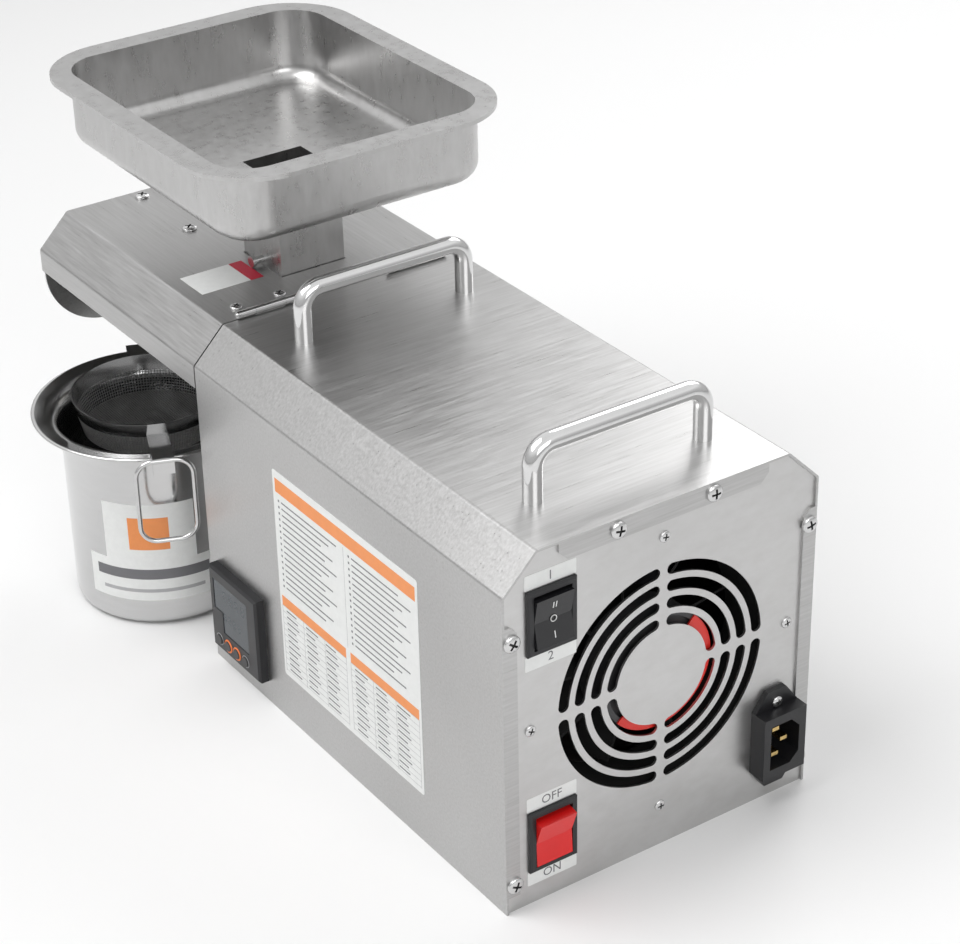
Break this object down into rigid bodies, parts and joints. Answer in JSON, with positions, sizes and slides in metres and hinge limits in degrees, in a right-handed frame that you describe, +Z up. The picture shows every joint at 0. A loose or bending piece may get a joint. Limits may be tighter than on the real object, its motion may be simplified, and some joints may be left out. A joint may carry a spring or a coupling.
{
  "type": "screw oil press",
  "caption": "Table-top screw press in a folded steel housing, with a tip-up head cover, lift-off hopper, strainer pot, rear fan grille and rocker switches.",
  "frame": {"origin": "centre of the housing's underside, on the surface it stands on", "axes": "+Z up, +Y towards the rear panel with the fan grille, -Y towards the press head, +X the side with the controller"},
  "size_m": [0.2214, 0.4368, 0.2736],
  "materials": {
    "housing_steel": "fine brushed stainless sheet",
    "hood_steel": "fine brushed stainless sheet",
    "panel_steel": "satin stainless sheet",
    "hopper_steel": "satin pressed stainless",
    "pot_steel": "polished stainless",
    "handle_chrome": "polished chrome",
    "fastener_steel": "bright plated steel",
    "base_steel": "plain sheet",
    "barrel_steel": "turned stainless",
    "heater_steel": "heat-darkened steel",
    "brass": "turned brass",
    "gear_steel": "oiled machined steel",
    "gearbox_metal": "cast aluminium",
    "motor_paint": "black enamel",
    "black_plastic": "fine matt",
    "fan_plastic": "matt",
    "fan_grey": "satin grey",
    "fan_red": "gloss red",
    "red_plastic": "gloss red",
    "black_gloss": "gloss black",
    "window_plastic": "dark glossy window",
    "key_plastic": "soft matt",
    "mesh_steel": "woven stainless"
  },
  "bodies": {
    "housing": {"barrel_bolts": "fastener_steel", "base_plate": "base_steel", "bulkhead": "housing_steel", "controller_case": "black_plastic", "controller_window": "window_plastic", "fan_screws": "fastener_steel", "fan_shroud": "fan_plastic", "gearbox_case": "gearbox_metal", "gearbox_cover": "gearbox_metal", "handle_front": "handle_chrome", "handle_nuts": "fastener_steel", "handle_rear": "handle_chrome", "heat_switch_frame": "black_plastic", "heater_band": "heater_steel", "heater_terminals": "brass", "hinge_body_leaves": "fastener_steel", "hinge_pins": "fastener_steel", "housing_shell": "housing_steel", "inlet_pins": "brass", "inlet_screws": "fastener_steel", "motor": "motor_paint", "motor_mount": "base_steel", "nozzle_cap": "barrel_steel", "power_inlet": "black_plastic", "press_barrel": "barrel_steel", "rear_panel": "panel_steel", "rear_panel_screws": "fastener_steel", "run_switch_frame": "black_plastic", "shaft_bearings": "gear_steel", "temperature_probe": "brass"},
    "hood": {"hood": "hood_steel", "hood_front_plate": "hood_steel", "hood_screws": "fastener_steel", "hood_nuts": "fastener_steel", "hinge_hood_leaves": "fastener_steel", "hinge_screws": "fastener_steel"},
    "hopper": {"hopper_pan": "hopper_steel", "hopper_neck": "hopper_steel", "hopper_stop_pins": "fastener_steel"},
    "press_drive": {"press_screw": "barrel_steel", "drive_gear": "gear_steel", "drive_shaft": "gear_steel"},
    "pinion": {"pinion": "gear_steel"},
    "fan": {"cooling_fan": "fan_plastic", "fan_ring": "fan_red", "fan_hub": "fan_grey", "motor_shaft": "gear_steel"},
    "pot": {"pot": "pot_steel"},
    "strainer": {"strainer_frame": "pot_steel", "strainer_dish": "mesh_steel", "strainer_loop": "pot_steel"},
    "run_rocker": {"run_switch_rocker": "black_gloss"},
    "heat_rocker": {"heat_switch_rocker": "red_plastic"},
    "key_1": {"controller_key_1": "key_plastic"},
    "key_2": {"controller_key_2": "key_plastic"},
    "key_3": {"controller_key_3": "key_plastic"},
    "key_4": {"controller_key_4": "key_plastic"}
  },
  "joints": [
    {"name": "hood_hinge", "type": "hinge", "parent": "housing", "child": "hood", "pos_m": [0, -0.1305, 0.1872], "axis": [-1, 0, 0], "range_deg": [0, 28]},
    {"name": "hopper_lift", "type": "slide", "parent": "hood", "child": "hopper", "axis": [0, 0, 1], "range_m": [0, 0.15]},
    {"name": "screw_spin", "type": "hinge", "parent": "housing", "child": "press_drive", "pos_m": [0, -0.13, 0.14], "axis": [0, -1, 0], "continuous": true},
    {"name": "pinion_spin", "type": "hinge", "parent": "housing", "child": "pinion", "pos_m": [0, -0.11, 0.0945], "axis": [0, -1, 0], "continuous": true},
    {"name": "fan_spin", "type": "hinge", "parent": "housing", "child": "fan", "pos_m": [0, 0.1, 0.0945], "axis": [0, -1, 0], "continuous": true},
    {"name": "pot_slide", "type": "slide", "parent": "housing", "child": "pot", "axis": [1, 0, 0], "range_m": [0, 0.15]},
    {"name": "strainer_lift", "type": "slide", "parent": "pot", "child": "strainer", "axis": [0, 0, 1], "range_m": [0, 0.032]},
    {"name": "run_rocker_tilt", "type": "hinge", "parent": "housing", "child": "run_rocker", "pos_m": [0.0607, 0.124, 0.1492], "axis": [1, 0, 0], "range_deg": [-8, 8]},
    {"name": "heat_rocker_tilt", "type": "hinge", "parent": "housing", "child": "heat_rocker", "pos_m": [0.0607, 0.124, 0.034], "axis": [1, 0, 0], "range_deg": [0, 16]},
    {"name": "key_1_press", "type": "slide", "parent": "housing", "child": "key_1", "axis": [-1, 0, 0], "range_m": [0, 0.0006], "stiffness_N_per_m": 200, "springref_m": -0.0003},
    {"name": "key_2_press", "type": "slide", "parent": "housing", "child": "key_2", "axis": [-1, 0, 0], "range_m": [0, 0.0006], "stiffness_N_per_m": 200, "springref_m": -0.0003},
    {"name": "key_3_press", "type": "slide", "parent": "housing", "child": "key_3", "axis": [-1, 0, 0], "range_m": [0, 0.0006], "stiffness_N_per_m": 200, "springref_m": -0.0003},
    {"name": "key_4_press", "type": "slide", "parent": "housing", "child": "key_4", "axis": [-1, 0, 0], "range_m": [0, 0.0006], "stiffness_N_per_m": 200, "springref_m": -0.0003}
  ],
  "couplings": [
    {"joint": "pinion_spin", "follows": "screw_spin", "ratio": -3.3333},
    {"joint": "fan_spin", "follows": "screw_spin", "ratio": -26.667}
  ]
}
